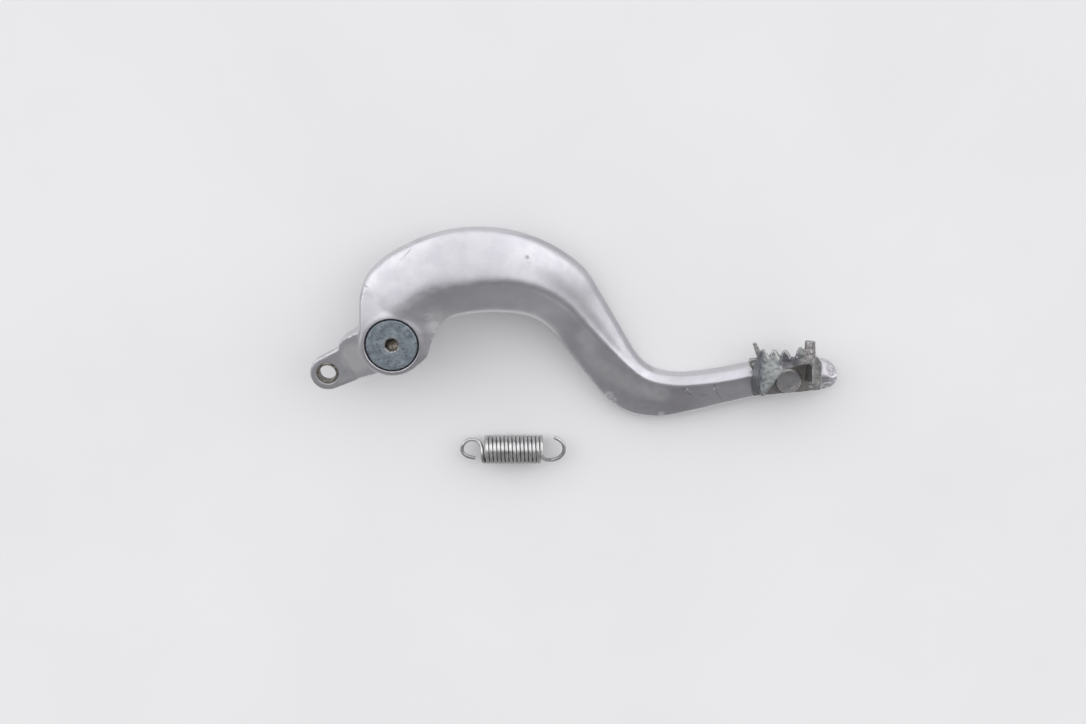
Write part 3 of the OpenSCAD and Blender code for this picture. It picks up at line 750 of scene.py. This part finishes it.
def boss_skirts():
    """Gentle cone that carries the boss's rim out into the arm's top, and a fillet down to the web."""
    r, z1 = BOSS_R, BOSS_Z1
    brim, foot_z, drop, drop_reach = 30.0, 3, 12, 19
    cone = revolve("cone", [
        (0, foot_z), (brim, foot_z), (brim, z1 - 4.8), (r - 2.4, z1 - 0.05), (0, z1 - 0.05)])
    points = points_of(cone)
    x, y, z = points.T
    toward_inner = np.clip((0.94 * x + 0.34 * y) / drop_reach, 0, 1)
    on_brim = (z > foot_z + 1) & (np.hypot(x, y) > brim - 1)
    points[:, 2] -= on_brim * drop * toward_inner
    set_points(cone, points)
    outer = [(x0 + 1.0, y0) for x0, y0, *_ in STATIONS[:5]]
    inner = [(x1 - 1.2, y1) for _, _, x1, y1, *_ in STATIONS[4::-1]]
    boolean(cone, prism("plan", outer + inner, 9, 28), "INTERSECT")
    bend, bend_z = 2.6, 18.8
    round_foot = arc(r + bend, bend_z, bend, 248, 180, 16)
    flare = revolve("flare", [(0, 8), (r + 8, 8), (r + 8, 11.5), *round_foot, (r, z1 - 1.5), (0, z1 - 1.5)])
    boolean(flare, prism("plan", WEB_EDGE, 5, 30), "INTERSECT")
    return [cone, flare]


def lug():
    """Flat lug with a round end, and the thicker web that joins it to the boss."""
    eye = revolve("eye", [(0, LUG_Z0), (LUG_R, LUG_Z0), (LUG_R, LUG_Z1), (0, LUG_Z1)], centre=LUG)
    strap = prism("strap", LUG_EDGE, LUG_Z0, LUG_Z1)
    web = prism("web", WEB_EDGE, 5.0, LUG_Z1)
    points = points_of(web)
    foot, end = np.array(WEB_EDGE[0]), np.array(WEB_EDGE[-1])
    along = (end - foot) / np.linalg.norm(end - foot)
    inward = (points[:, :2] - foot) @ (-along[1], along[0])
    points[:, 2] += np.where(points[:, 2] > 10, WEB_SLOPE * inward, 0)
    set_points(web, points)
    return [eye, strap, web]


def spring_tab():
    """Flat tab under the arm that the spring hooks into, with a round end."""
    z = FLOOR_Z + TAB_R
    outline = arc(TAB_Y, z, TAB_R, 180, 360, 24) + [(TAB_Y + TAB_R, z + 18), (TAB_Y - TAB_R, z + 18)]
    return prism("tab", outline, TAB_X - TAB_T / 2, TAB_X + TAB_T / 2, "yzx")


def bell(away, width):
    """A smooth bump, 1 where away is 0."""
    return np.exp(-((away / width) ** 2))


def arm_wear(piece):
    """Presses the dents and roughens the bent tip and the lower bend."""
    points, normals = points_of(piece), normals_of(piece)
    sink = np.zeros(len(points))
    for place, radius, depth in ARM_DENTS:
        away = np.linalg.norm(points - place, axis=1)
        dent = depth * bell(away, radius)
        lip = 0.35 * depth * bell(away - 1.7 * radius, 0.6 * radius)
        sink += dent - lip
    tip = np.clip((points[:, 0] - 209) / 4, 0, 1)
    sink += tip * (0.18 * hills(points, 2.4, 5) + 0.1 * hills(points, 1.2, 6))
    scuffed = bell(np.linalg.norm(points - (105, -35, -6), axis=1), 4)
    sink += scuffed * 0.12 * hills(points, 1.5, 7)
    sink += 0.02 * hills(points, 9, 8)
    set_points(piece, points - normals * sink[:, None])


def forged_arm():
    """The arm as one skin, softened where its parts meet, and then cut to its seats."""
    piece = merge("forged_arm", [arm_beam(), boss(), *boss_skirts(), *lug(), spring_tab()])
    apply(piece, "REMESH", mode="VOXEL", voxel_size=0.6 * MM, adaptivity=0)
    x, y, z = points_of(piece).T
    from_axis = np.hypot(x, y)
    on_arm = np.clip(y / 6 + 1, 0, 1) * np.clip((10 - x) / 8, 0.12, 1)
    around_boss = bell(from_axis - BOSS_R - 3.5, 4.5) * on_arm
    on_web = bell(from_axis - BOSS_R - 2.2, 2.6) * (z < 21)
    tab_root = bell(z - 5, 2.5) * (np.abs(x - TAB_X) < 6) * (np.abs(y - TAB_Y) < 11)
    soften(piece, 16, np.clip(np.maximum.reduce([around_boss, on_web, tab_root]), 0, 1))
    soften(piece, 4)
    arm_wear(piece)
    deep = 40
    y0, y1 = RIVET[1] - deep, RIVET[1] + deep
    cutters = [
        bore("seal_pocket", INNER_SEAL_R, BOSS_Z0, 1.0, chamfer_bottom=0.5),
        bore("bush_seat", BUSH_R, BOSS_Z0, 16.0),
        bore("head_pocket", POCKET_R, POCKET_Z, BOSS_Z1, chamfer_top=0.3),
        bore("clevis_seat", CLEVIS_R, LUG_Z0, LUG_Z1, LUG, 0.35, 0.35),
        prism("pad", [(PAD_X0, y0), (PAD_X1, y0), (PAD_X1, y1), (PAD_X0, y1)], PAD_Z, deep),
        bore("rivet_hole", RIVET_R + PIN_GAP, -10, PAD_Z, RIVET),
        bore("tail_pocket", TAIL_POCKET_R, -20, TAIL_POCKET_Z, RIVET),
        tab_hole(),
    ]
    for cutter in cutters:
        boolean(piece, cutter)
    finish_piece(piece, "pedal", "pedal_arm", "coated_aluminium", 32)


def tab_hole():
    """Cutter for the spring's hole through the tab, along X."""
    hole = bore("tab_hole", TAB_HOLE_R, -TAB_T / 2, TAB_T / 2, chamfer_top=0.4, chamfer_bottom=0.4)
    place = Matrix.Translation(Vector((TAB_X, TAB_Y, FLOOR_Z + TAB_R)) * MM)
    hole.data.transform(place @ Matrix.Rotation(math.pi / 2, 4, "Y"))
    return hole


# ---- Pivot ----


def cap_bolt():
    """Shouldered bolt with a flat head, a hex socket and a cut thread."""
    edge, r = 0.35, JOURNAL_R
    neck_z, ring_step = -1.2, 0.12
    thread = [(BOLT_R, z) for z in np.arange(FLOOR_Z + 1.0, neck_z - 0.2, ring_step)]
    profile = [(0, FLOOR_Z), (BOLT_R - 1, FLOOR_Z), *thread, (CORE_R, neck_z), (CORE_R, -0.3), (4.4, 0),
               (r - 0.4, 0), (r, 0.4), (r, 19.4), (r - 0.2, 19.7), (r - 0.2, HEAD_Z0),
               (HEAD_R - 0.4, HEAD_Z0), (HEAD_R, HEAD_Z0 + 0.4),
               (HEAD_R, HEAD_TOP - edge), (HEAD_R - 0.06, HEAD_TOP - 0.16),
               (HEAD_R - 0.2, HEAD_TOP - 0.04), (HEAD_R - 0.4, HEAD_TOP),
               *[(flat_r, HEAD_TOP) for flat_r in (10, 8, 6, 4.6)], (0, HEAD_TOP)]
    piece = revolve("cap_bolt", profile)
    points = points_of(piece)
    x, y, z = points.T
    radius = np.hypot(x, y)
    cut = (z < neck_z - 0.1) & (z > FLOOR_Z + 0.5) & (radius > 4.5)
    wave = np.abs(((z / THREAD_PITCH - np.arctan2(y, x) / (2 * math.pi)) % 1) - 0.5) * 2
    depth = THREAD_DEPTH * np.clip(1.15 * wave - 0.1, 0, 0.9)
    scale = np.where(cut, (radius - depth) / np.maximum(radius, 1e-6), 1)
    points[:, :2] *= scale[:, None]
    set_points(piece, points)
    corner = SOCKET_ACROSS / 2 / math.cos(math.pi / 6)
    hexagon = arc(0, 0, corner, SOCKET_TURN, SOCKET_TURN + 300, 5)
    lead_z, drill_r, over = HEAD_TOP - SOCKET_LEAD, 2.8, 1.3
    boolean(piece, prism("hex", hexagon, HEAD_TOP - SOCKET_DEPTH, HEAD_TOP + 2))
    boolean(piece, revolve("lead_in", [
        (0, lead_z), (3.05, lead_z), (5.0, HEAD_TOP + over), (0, HEAD_TOP + over)]))
    boolean(piece, revolve("drill", [
        (0, HEAD_TOP - 6.8), (drill_r, HEAD_TOP - 5.3), (drill_r, HEAD_TOP - 4), (0, HEAD_TOP - 4)]))
    finish_piece(piece, "pivot", "pivot_bolt", "zinc_steel", 28)


def pivot_rings():
    """Washer, seals and bushes of the pivot."""
    bore_r = JOURNAL_R + PIN_GAP
    washer = ring_piece("shim_washer", 12.6, bore_r, 19.0, HEAD_Z0, 0.15)
    finish_piece(washer, "pivot", "thrust_washer", "plain_steel", 30)
    near, far = HEAD_R + 0.04, POCKET_R - 0.02
    lip = [(near, 20.4), (far, 20.4), (far, 23.3), (far - 0.2, 23.6), (far - 0.4, 23.65),
           (near + 0.1, 23.5), (near, 23.2)]
    outer = revolve("outer_seal_ring", rounded(lip, 0.12), 160, closed=True)
    finish_piece(outer, "pedal", "outer_dust_seal", "seal_rubber", 50)
    lips = [(9.2, 0.2), (12.15, 0.2), (12.15, 3.8), (9.2, 3.8), (8.57, 3.5), (8.56, 3.0), (9.0, 2.4),
            (9.0, 1.6), (8.56, 1.0), (8.57, 0.5)]
    inner = revolve("inner_seal_ring", rounded(lips, 0.15), 160, closed=True)
    finish_piece(inner, "pedal", "inner_dust_seal", "seal_rubber", 50)
    for name, node, z0, z1 in (("outer_bush_sleeve", "outer_bush", 12.0, 18.9),
                               ("inner_bush_sleeve", "inner_bush", 4.0, 10.6)):
        sleeve = ring_piece(name, BUSH_R - 0.02, bore_r, z0, z1, 0.25)
        finish_piece(sleeve, "pedal", node, "bronze", 30)
    clevis = ring_piece("clevis_bush_sleeve", CLEVIS_R - 0.02, 4.05, LUG_Z0, LUG_Z1, 0.35, LUG, 96)
    finish_piece(clevis, "pedal", "clevis_bush", "bush_steel", 40)


# ---- Toe step ----


def tooth(x, height):
    """A tooth's outline, standing on a line at height 0."""
    half = TOOTH_PITCH / 2
    return [(x - half, -0.1), (x - half * 0.48, height * 0.8), (x - half * 0.2, height),
            (x + half * 0.24, height), (x + half, -0.1)]


def skyline(low, high, base, shapes):
    """Outline from the line at height 0 up to the highest of the shapes that stand at height base."""
    places = np.arange(low, high + 0.001, 0.12)
    top = np.full(len(places), float(base))
    for shape in shapes:
        x, y = zip(*shape)
        top = np.maximum(top, base + np.interp(places, x, y, left=0, right=0))
    return [(low, 0), (places[-1], 0), *zip(places[::-1], top[::-1])]


def post(low, high, height):
    """Outline of an upright post, standing on a line at height 0."""
    return [(low, 0), (low + 0.05, height), (high - 0.05, height), (high, 0)]


def wall_block(x0, x1, reach, corner):
    """Plan of a block with two rounded outer corners."""
    root = 8.0
    return [(x0, -root), (x1, -root), *arc(x1 - corner, reach - corner, corner, 0, 90, 8),
            *arc(x0 + corner, reach - corner, corner, 90, 180, 8)]


def step_wall():
    """Bent wall of the step: x stays, its height runs along y and its reach along z."""
    low, high = -10.0, 50.0
    wall = prism("claw_wall", wall_block(STEP_X0, STEP_X1, STEP_REACH, STEP_CORNER), low, high, "xzy")
    hollow = wall_block(STEP_X0 + STEP_T, STEP_X1 - STEP_T, STEP_REACH - STEP_T, STEP_CORNER - STEP_T)
    hollow[:2] = [(x, -20.0) for x, _ in hollow[:2]]
    boolean(wall, prism("hollow", hollow, low - 5, high + 5, "xzy"))
    top = STEP_H
    front = skyline(STEP_X0 - 0.5, STEP_X1 + 0.5, top, [
        *(tooth(*t) for t in FRONT_TEETH), TOOTH_WEB,
        post(STEP_X1 - STEP_CORNER, STEP_X1 + 0.6, HORN_H)])
    boolean(wall, prism("front", front, low - 10, high, "xyz"), "INTERSECT")
    boolean(wall, prism("arch", ARCH, low - 15, high, "xyz"))
    near = STEP_REACH - STEP_CORNER
    wing = [(low, top - 5.6), (0, top - 5.6), (near * 0.5, top - 3), (near, top), (near, top + 20),
            (low, top + 20)]
    boolean(wall, prism("wing", wing, STEP_X0 - 2, STEP_X0 + 9, "zyx"))
    notch = [(HORN_REACH + 0.4, top + HORN_H), (HORN_REACH + 1.6, top + HORN_H - 1.2),
             (HORN_REACH + 3.2, top + HORN_H - 1.0), (HORN_REACH + 4.4, top + HORN_H + 1)]
    boolean(wall, prism("notch", notch, STEP_X1 - 6, STEP_X1 + 3, "zyx"))
    return wall


def far_horn():
    """Horn at the inner end of the left wing. It leans away from the teeth."""
    rings = []
    for i, (height, left, right) in enumerate(HORN_SIDES):
        reach = HORN_REACH - i / 5
        corners = [(left, -6), (right, -6), (right, reach), (left, reach)]
        rings += [(STEP_X0 + x, STEP_H + height, z) for x, z in corners]
    return make("far_horn", rings, tube_faces(len(HORN_SIDES), 4))


def bevel_teeth(points):
    """Sinks the outer face along the right flank of each front tooth."""
    bevel, slope = 1.3, 0.8
    on_front = points[:, 2] > STEP_REACH - STEP_T * 0.6
    for x, height in FRONT_TEETH[:3]:
        start = np.array([x + TOOTH_PITCH * 0.12, STEP_H + height])
        along = np.array([x + TOOTH_PITCH / 2, STEP_H - 0.1]) - start
        length = np.linalg.norm(along)
        offset = points[:, :2] - start
        place = offset @ along / length**2
        inside = (offset[:, 1] * along[0] - offset[:, 0] * along[1]) / length
        sink = np.clip(bevel + np.minimum(inside, 0), 0, None) * slope * (inside < 0.3)
        sink *= on_front & (place > -0.15) & (place < 1.1) & (points[:, 0] < STEP_X1 - STEP_CORNER - 1)
        points[:, 2] -= sink
    return points


def claw_step():
    """The wall and its horn, bent and tilted onto the base plate as one worn skin."""
    voxel = 0.3 * MM
    wall = merge("claw_wall", [step_wall(), far_horn()])
    apply(wall, "REMESH", mode="VOXEL", voxel_size=voxel, adaptivity=0)
    points = bevel_teeth(points_of(wall))
    bend = 0.9 * bell(points[:, 0] - 188, 4.5) * np.clip((points[:, 1] - 8) / 8, 0, 1)
    points[:, 2] -= bend * (points[:, 2] > STEP_REACH - STEP_T * 1.4)
    set_points(wall, points)
    lift = Matrix.Translation(Vector((0, STEP_FOOT_Y, PLATE_TOP)) * MM)
    wall.data.transform(lift @ Matrix.Rotation(-STEP_TILT, 4, "X"))
    below = [(160, -90), (230, -90), (230, 40), (160, 40)]
    boolean(wall, prism("below", below, -60, PAD_Z + 0.3))
    plate = prism("plate", rounded(PLATE_EDGE, 1.2), PAD_Z, PLATE_TOP)
    piece = merge("claw_step", [wall, plate])
    apply(piece, "REMESH", mode="VOXEL", voxel_size=voxel, adaptivity=0)
    soften(piece, 3)
    points, normals = points_of(piece), normals_of(piece)
    rough = 0.07 * hills(points, 3.0, 11) + 0.035 * hills(points, 1.2, 12)
    rough *= points[:, 2] > PAD_Z + 0.5
    set_points(piece, points + normals * rough[:, None])
    boolean(piece, bore("step_hole", RIVET_R + PIN_GAP, PAD_Z, PLATE_TOP, RIVET))
    finish_piece(piece, "pedal", "toe_step", "step_steel", 60)


def shoulder_rivet():
    """Rivet through the arm: a low domed head in the step and a tail upset in its pocket."""
    base, r, tail = PLATE_TOP, RIVET_HEAD_R, RIVET_TAIL_R
    upset = [(0, -1.4), (tail - 1.6, -1.4), (tail - 0.5, -1.0), (tail, -0.4), (tail, 0), (RIVET_R, 0)]
    head = [(RIVET_R, 0), (r - 0.1, 0), (r, 0.2), (r, 1.6), (r - 0.15, 2.0), (r - 0.5, 2.3), (r - 1.0, 2.4),
            (r - 1.5, 2.3), (3, 2.33), (1.5, 2.38), (0, 2.4)]
    profile = [(x, TAIL_Z + z) for x, z in upset] + [(x, base + z) for x, z in head]
    piece = revolve("shoulder_rivet", profile, centre=RIVET)
    finish_piece(piece, "pedal", "step_rivet", "rivet_steel", 35)


# ---- Return spring ----


def wire_route():
    """The whole wire, from the end of the pedal's hook through the coil to the end of the frame's hook."""
    per_turn = 32
    angles = np.linspace(0, COIL_TURNS * 2 * math.pi, int(COIL_TURNS * per_turn) + 1)
    turn = angles + math.pi
    along = COIL_PITCH * angles / (2 * math.pi)
    coil = np.stack([along, COIL_R * np.cos(turn), COIL_R * np.sin(turn)], axis=1)
    coil_end = np.array([COIL_PITCH * COIL_TURNS, 0, 0])
    start = smooth_curve([*reversed(PEDAL_HOOK), coil[0], coil[4]], 8)[:-8]
    end = smooth_curve([coil[-5], coil[-1], *(np.array(FRAME_HOOK) + coil_end)], 8)[9:]
    return np.concatenate([start[:-1], coil, end]) + SPRING


def tension_spring():
    """One round wire swept along its route, with a frame that never twists and small chamfers on its ends."""
    sides, end_step, end_share = 16, 0.18, 0.78
    route = wire_route()
    ahead = np.gradient(route, axis=0)
    ahead /= np.linalg.norm(ahead, axis=1)[:, None]
    side = np.cross(ahead[0], (0, 0, 1))
    side /= np.linalg.norm(side)
    turn = np.radians(np.arange(sides) * 360 / sides)
    rings = []
    for i, (place, way) in enumerate(zip(route, ahead)):
        side -= way * (side @ way)
        side /= np.linalg.norm(side)
        up = np.cross(way, side)
        circle = np.cos(turn)[:, None] * side + np.sin(turn)[:, None] * up
        rings.append(place + WIRE_R * circle)
        if i == 0:
            rings.insert(0, place - way * end_step + WIRE_R * end_share * circle)
        if i == len(route) - 1:
            rings.append(place + way * end_step + WIRE_R * end_share * circle)
    piece = make("tension_spring", np.concatenate(rings), tube_faces(len(rings), sides))
    shade(piece, 40)
    piece.data.materials.append(FINISHES["spring_steel"])
    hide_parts("spring_coil", "spring_frame_hook", "spring_pedal_hook")
    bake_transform(piece)


# ---- Floor, light and camera ----


def floor():
    """Plain pale floor, far wider than the view."""
    size = 6000
    corners = [(-size, -size), (size, -size), (size, size), (-size, size)]
    piece = make("floor", [(*corner, FLOOR_Z) for corner in corners], [(0, 1, 2, 3)])
    f = Finish("pale_floor", Metallic=0.0, Specular_IOR_Level=0.2)
    tone = f.mix(f.span(f.noise(160.0, 3.0), 0.3, 0.7), (0.765, 0.765, 0.768), (0.79, 0.79, 0.792))
    piece.data.materials.append(f.paint(tone, 0.7))


def studio():
    """Soft light: the half of the sky on the +Y side is a bright panel, and the rest is an even grey."""
    world = bpy.data.worlds.new("studio")
    SCENE.world = world
    world.use_nodes = True
    tree = world.node_tree

    def link(kind, inputs, **settings):
        made = tree.nodes.new(kind)
        for key, value in settings.items():
            setattr(made, key, value)
        for key, value in inputs.items():
            if isinstance(value, bpy.types.NodeSocket):
                tree.links.new(value, made.inputs[key])
            else:
                made.inputs[key].default_value = value
        return made.outputs

    def rise(value, low, high):
        ends = {"Value": value, "From Min": low, "From Max": high}
        return link("ShaderNodeMapRange", ends, interpolation_type="SMOOTHSTEP")["Result"]

    def sums(operation, *values):
        return link("ShaderNodeMath", dict(enumerate(values)), operation=operation)[0]

    direction = link("ShaderNodeTexCoord", {})["Generated"]
    xyz = link("ShaderNodeSeparateXYZ", {0: direction})
    leaning = sums("MULTIPLY_ADD", xyz["Z"], -0.12, xyz["Y"])
    panel = sums("MULTIPLY", rise(leaning, -0.12, 0.10), rise(xyz["Z"], -0.05, 0.12))
    wings = rise(sums("ABSOLUTE", xyz["X"]), 0.1, 0.75)
    top, horizon = 0.33, 0.62
    dim = sums("MULTIPLY_ADD", rise(xyz["Z"], 0.1, 0.85), top - horizon, horizon)
    bright = sums("MULTIPLY_ADD", wings, 0.6, 1.15)
    strength = sums("MULTIPLY_ADD", panel, bright, dim)
    background = tree.nodes["Background"]
    background.inputs["Color"].default_value = (1.0, 1.0, 1.02, 1)
    tree.links.new(strength, background.inputs["Strength"])


def camera():
    """Camera at the photo's place and angle."""
    data = bpy.data.cameras.new("camera")
    data.lens, data.sensor_width = 50, 36
    data.clip_start, data.clip_end = 0.01, 50
    eye = bpy.data.objects.new("camera", data)
    eye.location = Vector((71.73, 201.28, 709.09)) * MM
    eye.rotation_euler = (math.radians(-17), 0, 0)
    SCENE.collection.objects.link(eye)
    SCENE.camera = eye


camera()
studio()
floor()
SCENE.view_settings.view_transform = "Standard"
SCENE.view_settings.look = "None"

forged_arm()
cap_bolt()
pivot_rings()
claw_step()
shoulder_rivet()
tension_spring()
